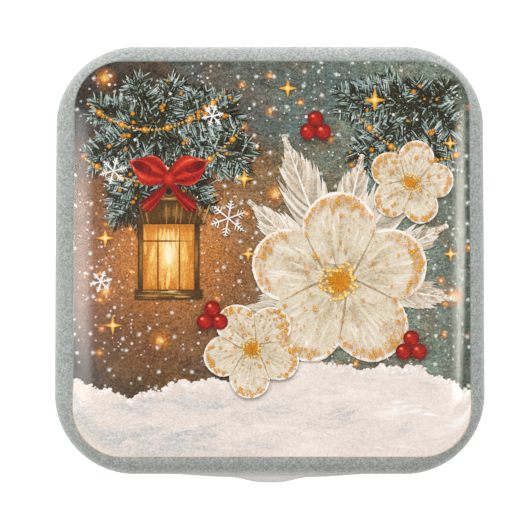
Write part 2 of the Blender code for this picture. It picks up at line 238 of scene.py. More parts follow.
def bare_tin():
    box = Paintbox("bare_tin")
    streak = box.noise(500, 3.0, 0.6, stretch=(0.15, 1, 1))
    colour = box.ramp(streak, [(0.3, (0.70, 0.67, 0.68, 1)), (0.7, (0.79, 0.76, 0.77, 1))])
    box.bump(box.noise(1800, stretch=(0.1, 1, 1)), strength=0.15, depth=0.03 * MM)
    return box.finish(colour, 0.36, metallic=0.75)


sage = sage_lacquer()
tin = bare_tin()


def arc(centre, radius, start, end, steps):
    """Points on an arc in X and Z, with angle 0 towards +X."""
    turns = [start + (end - start) * step / steps for step in range(steps + 1)]
    return [Vector((centre[0] + radius * cos(t), 0, centre[1] + radius * sin(t))) for t in turns]


def draw_line(name, points, painted):
    """Draws the points one after another by extruding. The first ones carry paint."""
    bpy.ops.object.select_all(action="DESELECT")
    bpy.ops.mesh.primitive_plane_add(size=MM, location=(0, 0, 0))
    line = bpy.context.object
    line.name = name
    bpy.ops.object.mode_set(mode="EDIT")
    bpy.ops.mesh.select_mode(type="VERT")
    bpy.ops.mesh.select_all(action="SELECT")
    bpy.ops.mesh.merge(type="CENTER")
    bpy.ops.transform.translate(value=points[0])
    for before, after in zip(points, points[1:]):
        bpy.ops.mesh.extrude_vertices_move(TRANSFORM_OT_translate={"value": after - before})
    work = bmesh.from_edit_mesh(line.data)
    coat = work.verts.layers.float.new("paint")
    for index, vertex in enumerate(work.verts):
        vertex[coat] = 1.0 if index < painted else 0.0
    bmesh.update_edit_mesh(line.data)
    return line


def pick(kind, rule):
    """Selects, in edit mode, only what the rule holds for."""
    bpy.ops.mesh.select_mode(type=kind)
    bpy.ops.mesh.select_all(action="DESELECT")
    work = bmesh.from_edit_mesh(bpy.context.object.data)
    for item in {"VERT": work.verts, "EDGE": work.edges, "FACE": work.faces}[kind]:
        if rule(item):
            item.select_set(True)
    bmesh.update_edit_mesh(bpy.context.object.data)


def carry_round(line):
    """Spins the drawn line round one corner, draws it out to the middles and mirrors it twice."""
    bpy.ops.mesh.select_all(action="SELECT")
    bpy.ops.mesh.spin(steps=24, angle=-QUARTER, center=(CORNER_RUN, CORNER_RUN, 0), axis=(0, 0, 1))
    pick("VERT", lambda v: abs(v.co.x - CORNER_RUN) < NEAR and v.co.y > CORNER_RUN + NEAR)
    bpy.ops.mesh.extrude_edges_move(TRANSFORM_OT_translate={"value": (-CORNER_RUN, 0, 0)})
    pick("VERT", lambda v: abs(v.co.y - CORNER_RUN) < NEAR and v.co.x > CORNER_RUN + NEAR)
    bpy.ops.mesh.extrude_edges_move(TRANSFORM_OT_translate={"value": (0, -CORNER_RUN, 0)})
    bpy.ops.object.mode_set(mode="OBJECT")
    mirror = line.modifiers.new("mirror", "MIRROR")
    mirror.use_axis = (True, True, False)
    mirror.merge_threshold = 10 * NEAR
    bpy.ops.object.modifier_apply(modifier="mirror")


def face_outward():
    """Turns every face of the edited mesh outward, and leaves edit mode."""
    bpy.ops.mesh.select_all(action="SELECT")
    bpy.ops.mesh.normals_make_consistent(inside=False)
    bpy.ops.object.mode_set(mode="OBJECT")


def close_sheet(outer_z, inner_z):
    """Fills the two open middles of a pressing, each with a narrow flat ring round it."""
    bpy.ops.object.mode_set(mode="EDIT")
    for z in (outer_z, inner_z):
        pick("EDGE", lambda e: e.is_boundary and all(abs(v.co.z - z) < NEAR for v in e.verts))
        bpy.ops.mesh.edge_face_add()
        bpy.ops.mesh.inset(thickness=0.3 * MM)
        bpy.ops.mesh.inset(thickness=2.0 * MM)
    face_outward()


def cut_box(target, low, high):
    """Cuts a plain rectangular opening."""
    middle = (Vector(low) + Vector(high)) / 2
    bpy.ops.mesh.primitive_cube_add(size=1, location=middle)
    punch = bpy.context.object
    punch.data.materials.append(tin)
    punch.scale = Vector(high) - Vector(low)
    bpy.ops.object.transform_apply(location=True, rotation=False, scale=True)
    step = target.modifiers.new("punch", "BOOLEAN")
    step.operation = "DIFFERENCE"
    step.material_mode = "TRANSFER"
    step.object = punch
    bpy.context.view_layer.objects.active = target
    bpy.ops.object.modifier_apply(modifier="punch")
    bpy.data.objects.remove(punch, do_unlink=True)


def coat_sheet(target):
    """Lacquer on the outside faces and bare tin on the others."""
    target.data.materials.append(sage)
    target.data.materials.append(tin)
    coat = [item.value for item in target.data.attributes["paint"].data]
    for face in target.data.polygons:
        share = sum(coat[index] for index in face.vertices) / len(face.vertices)
        face.material_index = 0 if share > 0.95 else 1


def pressing(name, outside, inside, outer_z, inner_z):
    """One drawn sheet, from its section's outer and inner lines and the levels of its middles."""
    sheet = draw_line(name, [p + Vector((0, CORNER_RUN, 0)) for p in outside + inside], len(outside))
    carry_round(sheet)
    close_sheet(outer_z, inner_z)
    coat_sheet(sheet)
    return sheet


def choose(target):
    bpy.ops.object.select_all(action="DESELECT")
    target.select_set(True)
    bpy.context.view_layer.objects.active = target


def smooth(target, degrees=35):
    choose(target)
    bpy.ops.object.shade_smooth_by_angle(angle=radians(degrees))


# Tray
# The lower half, drawn in one piece with a round foot. Its rim is rolled inward, so that no
# raw edge meets the fingers. Its back wall has two windows where the hinge tongues came from.
AXIS_Y, AXIS_Z = frame["joints"][0]["pos_m"][1:]
lid_low, lid_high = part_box("lid")
tray_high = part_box("base_tray")[1]
FOOT_RADIUS = 2.0 * MM
TONGUE_WIDTH = 8.0 * MM
TONGUE_PLACES = (-16.0 * MM, 16.0 * MM)
TONGUE_INNER = 0.9 * MM
TONGUE_OUTER = 1.2 * MM
TONGUE_WRAP = radians(240)
TONGUE_ROOT = 1.0 * MM
SLOT_REACH = TONGUE_WIDTH / 2 + 0.5 * MM
SLOT_MARGIN = 0.12 * MM
SLOT_GAP = 0.3 * MM

wall_x = tray_high.x
foot = (wall_x - FOOT_RADIUS, FOOT_RADIUS)
rim = (wall_x - ROLL_RADIUS, tray_high.z - ROLL_RADIUS)
outside = arc(foot, FOOT_RADIUS, -QUARTER, 0, 10) + arc(rim, ROLL_RADIUS, 0, ROLL_SWEEP, 20)
inside = arc(rim, ROLL_RADIUS - SHEET, ROLL_SWEEP, 0, 16) + arc(foot, FOOT_RADIUS - SHEET, 0, -QUARTER, 8)
tray = pressing("tray", outside, inside, 0, SHEET)
window_top = AXIS_Z + TONGUE_WRAP * (TONGUE_INNER + TONGUE_OUTER) / 2
for x in TONGUE_PLACES:
    low = (x - SLOT_REACH, wall_x - 2 * SHEET, AXIS_Z)
    cut_box(tray, low, (x + SLOT_REACH, wall_x + SHEET, window_top))
smooth(tray)


def hinge_tongue(name, x):
    """The lanced tongue rises from the wall, and rolls over the lid's edge and under it."""
    start = radians(180)
    turns = [start - TONGUE_WRAP * step / 24 for step in range(25)]
    ring = []
    edge_x = x - TONGUE_WIDTH / 2
    for radius, angles in ((TONGUE_OUTER, turns), (TONGUE_INNER, turns[::-1])):
        for turn in angles:
            ring.append(Vector((edge_x, AXIS_Y + radius * cos(turn), AXIS_Z + radius * sin(turn))))
    for radius in (TONGUE_INNER, TONGUE_OUTER):
        ring.append(Vector((edge_x, AXIS_Y - radius, AXIS_Z - TONGUE_ROOT)))
    tongue = draw_line(name, ring, len(turns))
    bpy.ops.mesh.select_all(action="SELECT")
    bpy.ops.mesh.edge_face_add()
    bpy.ops.mesh.extrude_region_move(TRANSFORM_OT_translate={"value": (TONGUE_WIDTH, 0, 0)})
    face_outward()
    tongue.data.materials.append(sage)
    tongue.data.materials.append(tin)
    for face in tongue.data.polygons:
        away = Vector((0, face.center.y - AXIS_Y, face.center.z - AXIS_Z))
        outward = face.normal.dot(away.normalized()) > 0.6 and away.length > TONGUE_INNER + 0.1 * MM
        face.material_index = 0 if outward else 1
    smooth(tongue)
    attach(tongue, "base")


hinge_tongue("hinge_tongue_left", TONGUE_PLACES[0])
hinge_tongue("hinge_tongue_right", TONGUE_PLACES[1])
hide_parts("base_tray")
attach(tray, "base")

# Magnetic sheet
# A thin flexible magnet, cut to lie on the tray's floor. Needles cling to it.


def flexible_magnet():
    box = Paintbox("flexible_magnet")
    fleck = box.noise(2200, 3.0, 0.7)
    colour = box.ramp(fleck, [(0.35, (0.022, 0.022, 0.026, 1)), (0.7, (0.06, 0.06, 0.065, 1))])
    box.bump(fleck, strength=0.3, depth=0.05 * MM)
    return box.finish(colour, 0.62)


magnet = frame["nodes"]["magnetic_sheet"]
magnet.data.materials.clear()
magnet.data.materials.append(flexible_magnet())

# Lid
# One pressing with a round shoulder and a short skirt. Its edge is rolled inward, and at the
# back the roll is the bead that the hinge turns on, bared by two slots.
SHOULDER = 3.0 * MM
skirt_x = lid_high.x
crown_z = 20.0 * MM
shoulder = (skirt_x - SHOULDER, crown_z - SHOULDER)
bead = (skirt_x - ROLL_RADIUS, AXIS_Z)
outside = arc(shoulder, SHOULDER, QUARTER, 0, 14) + arc(bead, ROLL_RADIUS, 0, -ROLL_SWEEP, 20)
inside = arc(bead, ROLL_RADIUS - SHEET, -ROLL_SWEEP, 0, 16) + arc(shoulder, SHOULDER - SHEET, 0, QUARTER, 10)
lid = pressing("lid_shell", outside, inside, crown_z, crown_z - SHEET)
for x in TONGUE_PLACES:
    low = (x - SLOT_REACH, skirt_x - SHEET - SLOT_MARGIN, AXIS_Z)
    cut_box(lid, low, (x + SLOT_REACH, skirt_x + SHEET, AXIS_Z + TONGUE_OUTER + SLOT_GAP))
smooth(lid)
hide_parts("lid")
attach(lid, "lid")

# Thumb lip
# At the middle of the front the lid's edge is turned outward and folded back on itself, so
# its top shows bare tin. Long gentle shoulders lead up to the part that the thumb lifts.
LIP_REACH = 1.6 * MM
LIP_WIDTH = 9.0 * MM
LIP_BLEND = 6.5 * MM
LIP_SHOULDER_REACH = 0.6 * MM
LIP_SHOULDER_WIDTH = 41.0 * MM
LIP_SHOULDER_BLEND = 13.0 * MM
LIP_THICKNESS = 0.8 * MM
LIP_ROOT = 0.1 * MM
LIP_ROUND = 0.36 * MM
LIP_SAG = 0.22 * MM


def ease(value):
    value = min(max(value, 0.0), 1.0)
    return value * value * (3 - 2 * value)


def lip_reach(x):
    wide = ease((LIP_SHOULDER_WIDTH / 2 - abs(x)) / LIP_SHOULDER_BLEND)
    middle = ease((LIP_WIDTH / 2 + LIP_BLEND / 2 - abs(x)) / LIP_BLEND)
    return LIP_SHOULDER_REACH * wide + (LIP_REACH - LIP_SHOULDER_REACH) * middle


lip_back = -skirt_x + SHEET
lip_middle = Vector((0, (lip_back - skirt_x - LIP_ROOT) / 2, lid_low.z + LIP_THICKNESS / 2))
bpy.ops.mesh.primitive_cube_add(size=1, location=lip_middle)
lip = bpy.context.object
lip.name = "thumb_lip"
lip.scale = (LIP_SHOULDER_WIDTH, lip_back + skirt_x + LIP_ROOT, LIP_THICKNESS)
bpy.ops.object.transform_apply(location=True, rotation=False, scale=True)
bpy.ops.object.mode_set(mode="EDIT")
pick("EDGE", lambda e: abs(e.verts[0].co.x - e.verts[1].co.x) > MM)
bpy.ops.mesh.subdivide(number_cuts=99)
bpy.ops.object.mode_set(mode="OBJECT")
for vertex in lip.data.vertices:
    if vertex.co.y < -skirt_x:
        vertex.co.y = -skirt_x - lip_reach(vertex.co.x) + 0.02 * MM
bpy.ops.object.mode_set(mode="EDIT")
pick("EDGE", lambda e: all(v.co.y < -skirt_x + 0.05 * MM for v in e.verts)
     and abs(e.verts[0].co.z - e.verts[1].co.z) < 0.1 * MM)
bpy.ops.mesh.bevel(offset=LIP_ROUND, segments=5, clamp_overlap=True)
pick("EDGE", lambda e: abs(e.verts[0].co.y - e.verts[1].co.y) > 0.15 * MM
     and abs(e.verts[0].co.x - e.verts[1].co.x) < NEAR)
bpy.ops.mesh.subdivide(number_cuts=5)
bpy.ops.object.mode_set(mode="OBJECT")
for vertex in lip.data.vertices:
    out = max(-skirt_x - vertex.co.y, 0.0) / LIP_REACH
    if vertex.co.z > lip_middle.z:
        vertex.co.z -= LIP_SAG * out * out * (vertex.co.z - lip_middle.z) / (LIP_THICKNESS / 2)
lip.data.materials.append(tin)
gloss_only.objects.link(lip)
smooth(lip, 50)
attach(lip, "lid")

# Label film and sky
# A printed film lies on the lid's flat top. The print on it is painterly: a night sky, brown
# on the left and grey-green on the right, with lights out of focus and falling snow.
LABEL_HALF = 36.8 * MM
LABEL_X = 0.4 * MM
LABEL_RADIUS = 9.0 * MM
FILM_Z = 20.02 * MM
FILM_TOP = 20.5 * MM
LANTERN = Vector((-0.52, 0.04))


def shade(red, green, blue):
    """A colour as it looks on a screen, from 0 to 255, for a shader."""
    parts = [value / 255 for value in (red, green, blue)]
    return tuple(p / 12.92 if p < 0.04 else ((p + 0.055) / 1.055) ** 2.4 for p in parts) + (1.0,)


def add_grain(box, colour, strength=0.9):
    """The fine grain that lies over the whole print."""
    grain = box.ramp(box.grit(GRAINS_A_METRE), [(0.0, grey(0.2)), (1.0, grey(0.8))])
    return box.mix(strength, colour, grain, "OVERLAY")


def add_spots(box, under, scale, reach, share, heart, rim, strength=1.0):
    """Soft round spots over a colour, one in each cell, kept in only a share of the cells."""
    made = box.node("TexVoronoi", {"Scale": scale, "Randomness": 0.65, "Vector": box.place},
                    voronoi_dimensions="2D")
    spot = box.ramp(made.outputs["Distance"], [
        (0.0, grey(1)), (reach * 0.3, grey(0.85)), (reach * 0.6, grey(0.3)), (reach, grey(0))])
    light = box.ramp(made.outputs["Distance"], [(reach * 0.1, heart), (reach * 0.4, rim)])
    lot = box.node("SeparateColor", {"Color": made.outputs["Color"]}).outputs[0]
    chosen = box.math("MULTIPLY", box.math("LESS_THAN", lot, share), strength)
    return box.mix(box.math("MULTIPLY", spot, chosen), under, light)


def printed_sky():
    box = Paintbox("printed_sky")
    wander = box.math("MULTIPLY", box.math("SUBTRACT", box.noise(48, 5.0, 0.62, 1.2), 0.5), 0.8)
    across = box.math("MULTIPLY", box.axis("X"), 0.5 / LABEL_HALF)
    place = box.math("ADD", box.math("ADD", across, 0.5), wander)
    colour = box.ramp(place, [
        (0.05, shade(66, 53, 43)), (0.32, shade(90, 75, 58)), (0.52, shade(114, 104, 80)),
        (0.72, shade(122, 132, 114)), (0.95, shade(138, 150, 132))])
    blue = box.ramp(box.noise(36, 3.0, 0.5, 0.8), [(0.5, grey(0)), (0.72, grey(0.6))])
    colour = box.mix(blue, colour, shade(80, 106, 114))
    brown = box.ramp(box.noise(66, 4.0, 0.6, 1.0), [(0.5, grey(0)), (0.7, grey(0.55))])
    colour = box.mix(brown, colour, shade(134, 98, 54))
    brushed = box.noise(210, 5.0, 0.7, 1.6, (1.0, 2.6, 1.0), 0.9)
    colour = box.mix(0.55, colour, box.ramp(brushed, [(0.32, grey(0.1)), (0.68, grey(0.85))]), "OVERLAY")
    # Painted shade: the sky is darkened towards the label's right edge, where the resin's steep edge shows
    # dark.
    colour = box.mix(1.0, colour, box.ramp(across, [(0.40, grey(1)), (0.49, grey(0.45))]), "MULTIPLY")
    lamp_place = (LABEL_X + LABEL_HALF * LANTERN.x, LABEL_HALF * LANTERN.y, FILM_TOP)
    away = box.node("VectorMath", {0: box.place, 1: lamp_place}, operation="DISTANCE").outputs["Value"]
    glow = box.ramp(box.math("MULTIPLY", away, 1 / (0.75 * LABEL_HALF)), [
        (0.2, grey(0.95)), (0.5, grey(0.4)), (1.0, grey(0))])
    colour = box.mix(glow, colour, shade(204, 116, 26), "SCREEN")
    core, halo, snow_white = shade(255, 222, 130), shade(226, 130, 26), shade(232, 232, 224)
    colour = add_spots(box, colour, 92, 0.22, 0.34, core, halo, 0.9)
    colour = add_spots(box, colour, 190, 0.20, 0.30, core, halo, 0.9)
    colour = add_spots(box, colour, 330, 0.18, 0.40, snow_white, snow_white)
    colour = add_spots(box, colour, 620, 0.20, 0.30, snow_white, snow_white, 0.8)
    return box.finish(add_grain(box, colour), 0.5, specular=0.0)


def film_rim():
    """The film's cut edge, which takes a warm cast beside the snow."""
    box = Paintbox("film_white")
    height = box.math("ADD", box.math("MULTIPLY", box.axis("Y"), 0.5 / LABEL_HALF), 0.5)
    return box.finish(box.ramp(height, [(0.14, shade(236, 206, 176)), (0.2, shade(132, 142, 132))]), 0.5)


def label_plate(name, z):
    """A flat plate of the label's outline, left selected in edit mode."""
    bpy.ops.mesh.primitive_plane_add(size=2 * LABEL_HALF, location=(LABEL_X, 0, z))
    plate = bpy.context.object
    plate.name = name
    bpy.ops.object.transform_apply(location=True, rotation=False, scale=False)
    bpy.ops.object.mode_set(mode="EDIT")
    bpy.ops.mesh.select_all(action="SELECT")
    bpy.ops.mesh.bevel(offset=LABEL_RADIUS, segments=24, affect="VERTICES")
    return plate


FILM_RIM = 0.10 * MM
film = label_plate("label_sky", FILM_Z)
bpy.ops.mesh.extrude_region_move(TRANSFORM_OT_translate={"value": (0, 0, FILM_TOP - FILM_Z)})
bpy.ops.mesh.inset(thickness=FILM_RIM)
face_outward()
film.data.materials.append(printed_sky())
film.data.materials.append(film_rim())
for face in film.data.polygons:
    face.material_index = 0 if face.normal.z > 0.5 and len(face.vertices) > 4 else 1
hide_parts("label_film", "night_sky")
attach(film, "lid")
film.visible_shadow = False

# Brushwork
# The rest of the print is built as it would be painted: each motif is many flat tapered
# strokes, each a few thousandths of a millimetre above the one before, with its own tone.


class Brushwork:
    """The strokes of one printed motif. Places are in shares of the label's half width."""

    def __init__(self, low, high, seed):
        self.low, self.high = FILM_TOP + low * MM, FILM_TOP + high * MM
        self.chance = random.Random(seed)
        self.count = 0
        self.points, self.faces, self.tones = [], [], []

    def add(self, places, tones):
        """Every stroke lies a little higher than the last one."""
        self.count += 1
        first = len(self.points)
        self.points += [(LABEL_X + LABEL_HALF * x, LABEL_HALF * y, self.count) for x, y in places]
        self.tones += tones
        return first

    def stroke(self, path, width, tone, tip=None, sharp=0.15):
        """One stroke along its path, widest before the middle. Its tone may change to its tip."""
        places, tones = [], []
        last = len(path) - 1
        tip = tone if tip is None else tip
        for index, point in enumerate(path):
            ahead = path[min(index + 1, last)] - path[max(index - 1, 0)]
            side = Vector((-ahead.y, ahead.x)).normalized()
            share = index / last
            reach = width / 2 * max(sin(pi * (0.12 + 0.88 * share)) ** 0.8, sharp * (share < 1))
            places += [point + side * reach, point - side * reach]
            tones += [tone + (tip - tone) * share] * 2
        first = self.add(places, tones)
        for index in range(last):
            a = first + 2 * index
            self.faces.append((a, a + 1, a + 3, a + 2))

    def patch(self, outline, middle, rim, heart):
        """A filled shape whose tone runs from its heart to its rim."""
        first = self.add([middle] + outline, [heart] + [rim] * len(outline))
        count = len(outline)
        for index in range(count):
            self.faces.append((first, first + 1 + index, first + 1 + (index + 1) % count))

    def disc(self, middle, radius, rim, heart, squash=1.0, steps=14):
        turns = [tau * step / steps for step in range(steps)]
        ring = [middle + Vector((radius * cos(t), radius * squash * sin(t))) for t in turns]
        self.patch(ring, middle, rim, heart)

    def between(self, low, high):
        return self.chance.uniform(low, high)

    def make(self, name, finish, slot, *nodes):
        mesh = bpy.data.meshes.new(name)
        pitch = (self.high - self.low) / self.count
        mesh.from_pydata([(x, y, self.low + pitch * order) for x, y, order in self.points], [], self.faces)
        tone = mesh.attributes.new("tone", "FLOAT", "POINT")
        tone.data.foreach_set("value", self.tones)
        piece = bpy.data.objects.new(name, mesh)
        bpy.context.collection.objects.link(piece)
        choose(piece)
        bpy.ops.object.mode_set(mode="EDIT")
        pick("FACE", lambda f: f.normal.z < 0)
        bpy.ops.mesh.flip_normals()
        bpy.ops.object.mode_set(mode="OBJECT")
        piece.data.materials.append(finish)
        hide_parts(*nodes)
        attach(piece, "lid")
        return piece


def toward(degrees):
    return Vector((cos(radians(degrees)), sin(radians(degrees))))


def curl(start, degrees, length, bend=0.0, steps=4):
    """Places along a stroke that sets off at an angle and turns by its bend."""
    path = [Vector(start)]
    for step in range(steps):
        path.append(path[-1] + toward(degrees + bend * (step + 0.5) / steps) * length / steps)
    return path


def painted(name, *stops, roughness=0.5, drift=0.12, scale=240, grain=0.5):
    """A printed colour scale, read by each stroke's tone and broken up a little by noise.

    Each stop is a tone and the red, green and blue that it looks like.
    """
    box = Paintbox(name)
    tone = box.node("Attribute", {}, attribute_name="tone").outputs["Fac"]
    wander = box.math("MULTIPLY", box.math("SUBTRACT", box.noise(scale, 4.0, 0.6, 0.6), 0.5), drift * 2)
    colour = box.ramp(box.math("ADD", tone, wander), [(stop[0], shade(*stop[1:])) for stop in stops])
    return box.finish(add_grain(box, colour, grain), roughness, specular=0.0)


snow_colours = painted(
    "printed_snow", (0.0, 164, 170, 174), (0.35, 208, 208, 206), (0.62, 236, 224, 215),
    (0.85, 244, 233, 225), (1.0, 255, 252, 248), drift=0.24, scale=70, grain=0.6)
fir_colours = painted(
    "printed_fir", (0.0, 24, 15, 6), (0.3, 48, 42, 22), (0.55, 86, 96, 66),
    (0.8, 158, 182, 178), (1.0, 252, 250, 242))
frost_colours = painted(
    "printed_frost", (0.0, 112, 104, 88), (0.3, 172, 160, 140), (0.6, 218, 204, 184),
    (0.85, 240, 232, 218), (1.0, 253, 250, 244))
petal_colours = painted(
    "printed_petals", (0.0, 134, 108, 66), (0.25, 184, 162, 124), (0.55, 219, 204, 177),
    (0.8, 240, 229, 210), (1.0, 254, 250, 242))
brass_colours = painted(
    "printed_brass", (0.0, 34, 24, 14), (0.4, 104, 70, 30), (0.7, 178, 126, 56), (1.0, 246, 214, 140),
    roughness=0.4)
lamp_colours = painted(
    "printed_lamplight", (0.0, 150, 74, 20), (0.4, 224, 140, 44), (0.75, 250, 206, 110),
    (1.0, 255, 246, 208), roughness=0.4, drift=0.06)
red_colours = painted(
    "printed_red", (0.0, 78, 8, 6), (0.4, 182, 30, 20), (0.7, 224, 62, 34), (1.0, 252, 166, 120),
    roughness=0.4)
gold_colours = painted(
    "printed_gold", (0.0, 124, 62, 4), (0.4, 216, 136, 16), (0.7, 248, 184, 44), (1.0, 255, 238, 166),
    roughness=0.35)

# Snow bank
# Drifts along the foot of the picture, warm white in the light with cool hollows.
PRINT_EDGE = 1 - FILM_RIM / LABEL_HALF
CORNER = LABEL_RADIUS / LABEL_HALF


def border(x):
    """The print's bottom edge at x, round at the label's corners."""
    past = max(abs(x) / PRINT_EDGE - (1 - CORNER), 0.0)
    return -PRINT_EDGE * (1 - CORNER + sqrt(max(CORNER * CORNER - past * past, 0.0)))


def snow_line(x):
    drift = -0.60 + 0.07 * sin(3.1 * x + 0.6) + 0.025 * sin(11 * x)
    return drift + 0.010 * sin(37 * x) + 0.006 * sin(83 * x + 1)


def snow_tone(x, share):
    """Bright drifts and cool hollows at x and at a share of the bank's height."""
    return 0.66 + 0.11 * sin(5.2 * x + 9 * share) + 0.07 * sin(13 * x - 14 * share) + 0.17 * x


snow = Brushwork(low=0.01, high=0.05, seed=3)
COLUMNS = 220
ROWS = 8
places, tones = [], []
for column in range(COLUMNS + 1):
    x = -PRINT_EDGE * cos(pi * column / COLUMNS)
    low, high = border(x), max(snow_line(x), border(x))
    for share in [row / ROWS for row in range(ROWS + 1)]:
        places.append((x, low + (high - low) * share))
        tones.append(snow_tone(x, share) + 0.12 * share ** 3)
first = snow.add(places, tones)
for column in range(COLUMNS):
    for row in range(ROWS):
        a = first + column * (ROWS + 1) + row
        snow.faces.append((a, a + ROWS + 1, a + ROWS + 2, a + 1))
for index in range(420):
    x = snow.between(-0.92, 0.92)
    low, high = border(x) + 0.05, snow_line(x) - 0.02
    y = snow.between(low, high)
    share = (y - low) / (high - low)
    length = snow.between(0.05, 0.22)
    if abs(x) + length > 0.93:
        continue
    path = curl((x, y), snow.between(-14, 14), length, snow.between(-16, 16), 5)
    if all(border(p.x) + 0.02 < p.y < snow_line(p.x) - 0.02 for p in path):
        snow.stroke(path, snow.between(0.008, 0.03), snow_tone(x, share) + snow.between(-0.11, 0.10))
for index in range(420):
    x = snow.between(-0.98, 0.98)
    middle = Vector((x, snow_line(x) + snow.between(-0.03, 0.008)))
    snow.disc(middle, snow.between(0.004, 0.014), snow.between(0.6, 0.95), snow.between(0.8, 1.0), 0.7, 9)
drifts = snow.make("snow_drifts", snow_colours, "snow_print", "snow_bank")
drifts.visible_shadow = False

# Fir sprays
# Two sprays of fir come in from the top corners. Frost lies on the needles' tips. Each spray
# has its heart and its branches, which are a direction in degrees and a length.
FIRS = {
    "left": (Vector((-0.60, 0.68)), ((-105, 0.52), (-62, 0.50), (-22, 0.52), (10, 0.42), (60, 0.24),
                                     (115, 0.24), (165, 0.30), (212, 0.36))),
    "right": (Vector((0.80, 0.78)), ((-95, 0.44), (-140, 0.46), (178, 0.44), (130, 0.12), (40, 0.12),
                                     (-50, 0.18))),
}
NEEDLE_WIDTH = 0.0062


def on_label(place, margin=0.0):
    """Whether a place is inside the print's rounded border."""
    edge = PRINT_EDGE - margin
    past = Vector((max(abs(place.x) - edge + CORNER, 0.0), max(abs(place.y) - edge + CORNER, 0.0)))
    return max(abs(place.x), abs(place.y)) < edge and past.length < CORNER


def fir_twig(brush, start, degrees, length, frost):
    """One twig with needles on both sides, dark below and frosted over."""
    bend = brush.between(-18, 18)
    spine = [p for p in curl(start, degrees, length, bend, max(int(length / 0.011), 3)) if on_label(p, 0.02)]
    if len(spine) < 3:
        return
    brush.stroke(spine, 0.009, 0.18)
    for index, point in enumerate(spine[1:]):
        share = index / len(spine)
        heading = degrees + bend * share
        for side in (-1, 1):
            reach = (0.075 - 0.035 * share) * brush.between(0.75, 1.15)
            needle = curl(point, heading + side * brush.between(30, 58), reach, side * -16, 3)
            if not on_label(needle[-1], 0.005):
                continue
            frosted = brush.between(0, 1) < frost * (0.25 + 1.3 * share)
            tone = brush.between(0.5, 0.85) if frosted else brush.between(0.0, 0.46)
            tip = brush.between(0.85, 1.0) if frosted else tone + 0.12
            brush.stroke(needle, NEEDLE_WIDTH, tone, tip)


def fir_spray(brush, heart, branches):
    for frost in (0.12, 0.55):
        for degrees, length in branches:
            fir_twig(brush, heart, degrees, length, frost)
            main = curl(heart, degrees, length, 0, 8)
            for step in range(1, 8):
                for side in (-1, 1):
                    turn = degrees + side * brush.between(32, 50)
                    fir_twig(brush, main[step], turn, length * (0.52 - 0.045 * step), frost)


for seed, (side_name, (heart, branches)) in enumerate(FIRS.items(), 11):
    spray = Brushwork(low=0.05, high=0.13, seed=seed)
    fir_spray(spray, heart, branches)
    spray.make("fir_" + side_name, fir_colours, "fir_print", "fir_spray_" + side_name)

# Frosted spray
# Feathery fronds white with frost fan out behind the big rose. Each rose has its middle, its
# radius and the tilt of its first petal.
ROSES = {
    "large": (Vector((0.34, -0.12)), 0.46, 18),
    "low": (Vector((-0.10, -0.46)), 0.25, 50),
    "high": (Vector((0.70, 0.38)), 0.22, 5),
}
FRONDS = ((205, 0.62), (-40, 0.56), (-8, 0.60), (28, 0.62), (140, 0.62), (60, 0.82), (112, 0.80), (84, 0.66))
FROND_STEPS = 44
frost = Brushwork(low=0.14, high=0.19, seed=21)


def frond(brush, start, degrees, length):
    """A leaf of barbs that lie over one another like a feather's."""
    bend = brush.between(-10, 10)
    spine = curl(start, degrees, length, bend, FROND_STEPS)
    for index, point in enumerate(spine[:-1]):
        share = index / FROND_STEPS
        heading = degrees + bend * share
        swell = 0.35 + 0.65 * sin(pi * min(share * 1.15, 1.0)) ** 0.7
        for side in (-1, 1):
            reach = 0.42 * length * swell * (1 - 0.55 * share) * (1 - 0.8 * share ** 5)
            opening = 44 - 22 * share + brush.between(-5, 5)
            barb = curl(point, heading + side * opening, reach * brush.between(0.82, 1.1), side * -26, 6)
            if all(on_label(p, 0.01) for p in barb):
                tone = brush.between(0.22, 0.78)
                brush.stroke(barb, 0.026, tone, min(tone + brush.between(0.15, 0.45), 1.0))
    inner = [p for p in spine if on_label(p, 0.015)]
    brush.stroke(inner, 0.012, 0.85, 1.0)


for degrees, length in FRONDS:
    frond(frost, ROSES["large"][0], degrees, length)
frost.make("frosted_fronds", frost_colours, "frost_print", "frosted_spray")

# Lantern
# A small brass lantern hangs below the bow, with a warm flame behind its glass.
LANTERN_WIDTH = 0.34
LANTERN_HEIGHT = 0.50
LANTERN_FOOT = 0.05
GLAZING_BAR = 0.008
brass = Brushwork(low=0.20, high=0.22, seed=31)
lamp_low = LANTERN.y - LANTERN_HEIGHT / 2
eaves = LANTERN.y + LANTERN_HEIGHT * 0.26
lamp_top = LANTERN.y + LANTERN_HEIGHT / 2
half = LANTERN_WIDTH / 2


def slab(brush, low, high, rim, heart):
    """A straight bar with its light along the middle."""
    (x0, y0), (x1, y1) = low, high
    brush.patch([Vector(p) for p in ((x0, y0), (x1, y0), (x1, y1), (x0, y1))],
                Vector(((x0 + x1) / 2, (y0 + y1) / 2)), rim, heart)


